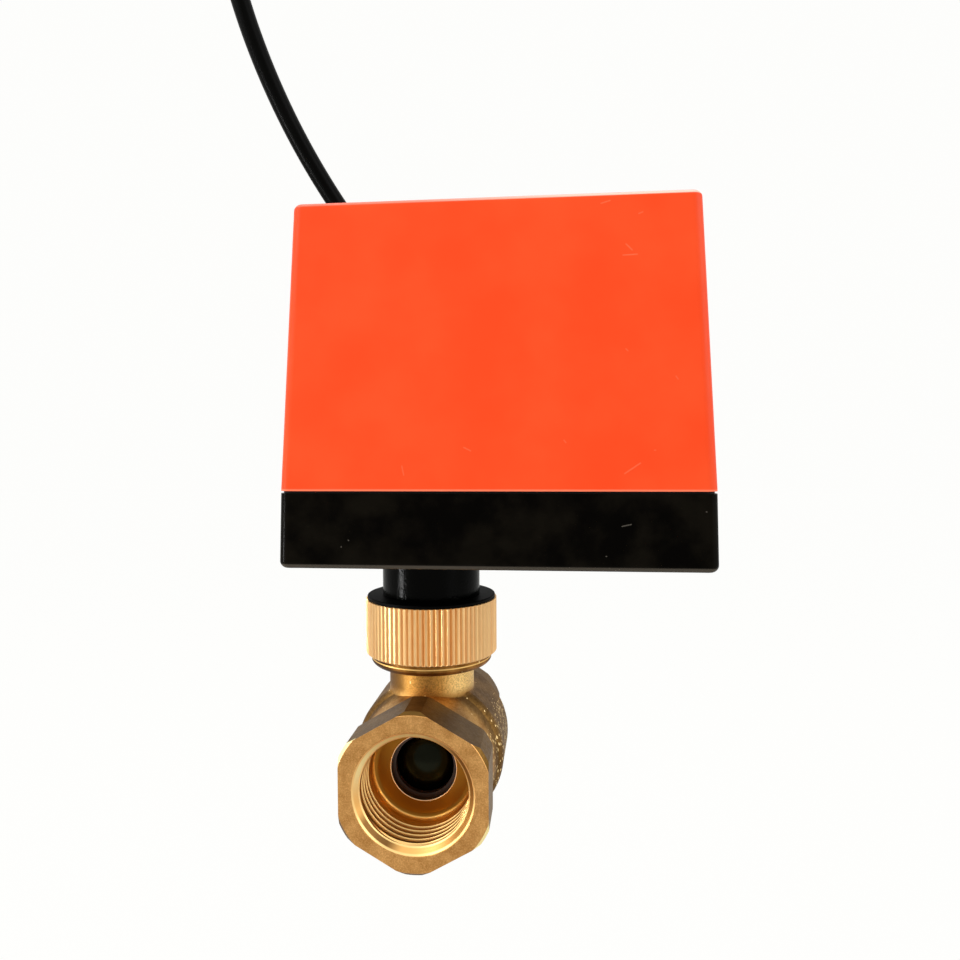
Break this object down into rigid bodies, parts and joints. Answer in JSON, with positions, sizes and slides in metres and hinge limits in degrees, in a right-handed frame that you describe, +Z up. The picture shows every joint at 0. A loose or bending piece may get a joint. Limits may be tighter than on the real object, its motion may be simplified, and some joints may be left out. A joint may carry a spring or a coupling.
{
  "type": "motorized ball valve",
  "caption": "brass two-way ball valve with female threaded ends, turned by a gear motor in a tapered orange cover on a black tray, held by a knurled union nut, with a short lead",
  "frame": {"origin": "centre of the front port's mouth face, on the bore axis", "axes": "+X to the right seen from the front port, +Y along the bore towards the rear port, +Z up along the valve stem"},
  "size_m": [0.1576, 0.1412, 0.3212],
  "materials": {
    "cast_brass": "sand-cast brass, machined on its faces",
    "turned_brass": "turned brass",
    "seal": "black rubber",
    "seat": "fluoropolymer seat",
    "ball_chrome": "polished and plated ball",
    "gloss_black": "glossy black plastic",
    "black_plastic": "black moulded plastic with a slight sheen",
    "steel": "plated steel",
    "orange_plastic": "orange-red moulded plastic, satin",
    "zinc_plate": "zinc-plated sheet steel",
    "white_plastic": "natural acetal",
    "board": "green circuit board",
    "terminal_green": "green terminal plastic",
    "relay_blue": "blue relay case",
    "rubber": "black flexible plastic",
    "cord_sheath": "black round cable sheath",
    "core_wire": "insulated copper cores"
  },
  "bodies": {
    "valve_and_box": {"board_pillars": "turned_brass", "board_screws": "steel", "cap_seal": "seal", "capacitor": "white_plastic", "circuit_board": "board", "clamp_screws": "steel", "closed_switch": "black_plastic", "cord": "cord_sheath", "cord_clamp": "black_plastic", "cord_cores": "core_wire", "cord_tail": "cord_sheath", "cover": "orange_plastic", "cover_screws": "steel", "end_cap": "cast_brass", "gasket": "seal", "idler_axle": "steel", "lower_bush": "turned_brass", "lower_plate": "zinc_plate", "motor": "zinc_plate", "motor_screws": "steel", "mounting_neck": "black_plastic", "neck_screws": "steel", "nut_washer": "gloss_black", "open_switch": "black_plastic", "pillar_screws": "steel", "plate_pillars": "turned_brass", "relay": "relay_blue", "seat_front": "seat", "seat_rear": "seat", "stem_washer": "seat", "strain_relief": "rubber", "switch_screws": "steel", "switch_spacer": "white_plastic", "terminal_block": "terminal_green", "tray": "black_plastic", "upper_bush": "turned_brass", "upper_plate": "zinc_plate", "valve_body": "cast_brass"},
    "ball_and_stem": {"ball": "ball_chrome", "valve_stem": "turned_brass", "stem_rings": "seal"},
    "drive": {"drive_shaft": "steel", "output_gear": "white_plastic", "closed_cam": "black_plastic", "open_cam": "white_plastic", "cam_spacer": "white_plastic", "shaft_clip": "steel"},
    "idler": {"idler_gear": "white_plastic"},
    "pinion": {"motor_pinion": "steel"},
    "nut": {"union_nut": "turned_brass"},
    "closed_lever": {"closed_lever": "steel"},
    "open_lever": {"open_lever": "steel"}
  },
  "joints": [
    {"name": "drive_turn", "type": "hinge", "parent": "valve_and_box", "child": "drive", "pos_m": [0, 0.027, 0.06], "axis": [0, 0, 1], "range_deg": [0, 90]},
    {"name": "ball_turn", "type": "hinge", "parent": "valve_and_box", "child": "ball_and_stem", "pos_m": [0, 0.027, 0], "axis": [0, 0, 1], "range_deg": [0, 90]},
    {"name": "idler_turn", "type": "hinge", "parent": "valve_and_box", "child": "idler", "pos_m": [0.02819, 0.01674, 0.06], "axis": [0, 0, 1], "range_deg": [-135, 0]},
    {"name": "pinion_turn", "type": "hinge", "parent": "valve_and_box", "child": "pinion", "pos_m": [0.03285, 0.03413, 0.06], "axis": [0, 0, 1], "range_deg": [0, 270]},
    {"name": "nut_turn", "type": "hinge", "parent": "valve_and_box", "child": "nut", "pos_m": [0, 0.027, 0.031], "axis": [0, 0, 1], "continuous": true},
    {"name": "closed_lever_press", "type": "hinge", "parent": "valve_and_box", "child": "closed_lever", "pos_m": [0.0083, 0.01365, 0.0747], "axis": [0, 0, 1], "range_deg": [0, 4], "stiffness_Nm_per_rad": 0.02, "springref_deg": -1.15},
    {"name": "open_lever_press", "type": "hinge", "parent": "valve_and_box", "child": "open_lever", "pos_m": [0.0083, 0.04035, 0.0792], "axis": [0, 0, -1], "range_deg": [0, 4], "stiffness_Nm_per_rad": 0.02, "springref_deg": -1.15}
  ],
  "couplings": [
    {"joint": "ball_turn", "follows": "drive_turn", "ratio": 1},
    {"joint": "idler_turn", "follows": "drive_turn", "ratio": -1.5},
    {"joint": "pinion_turn", "follows": "drive_turn", "ratio": 3}
  ]
}
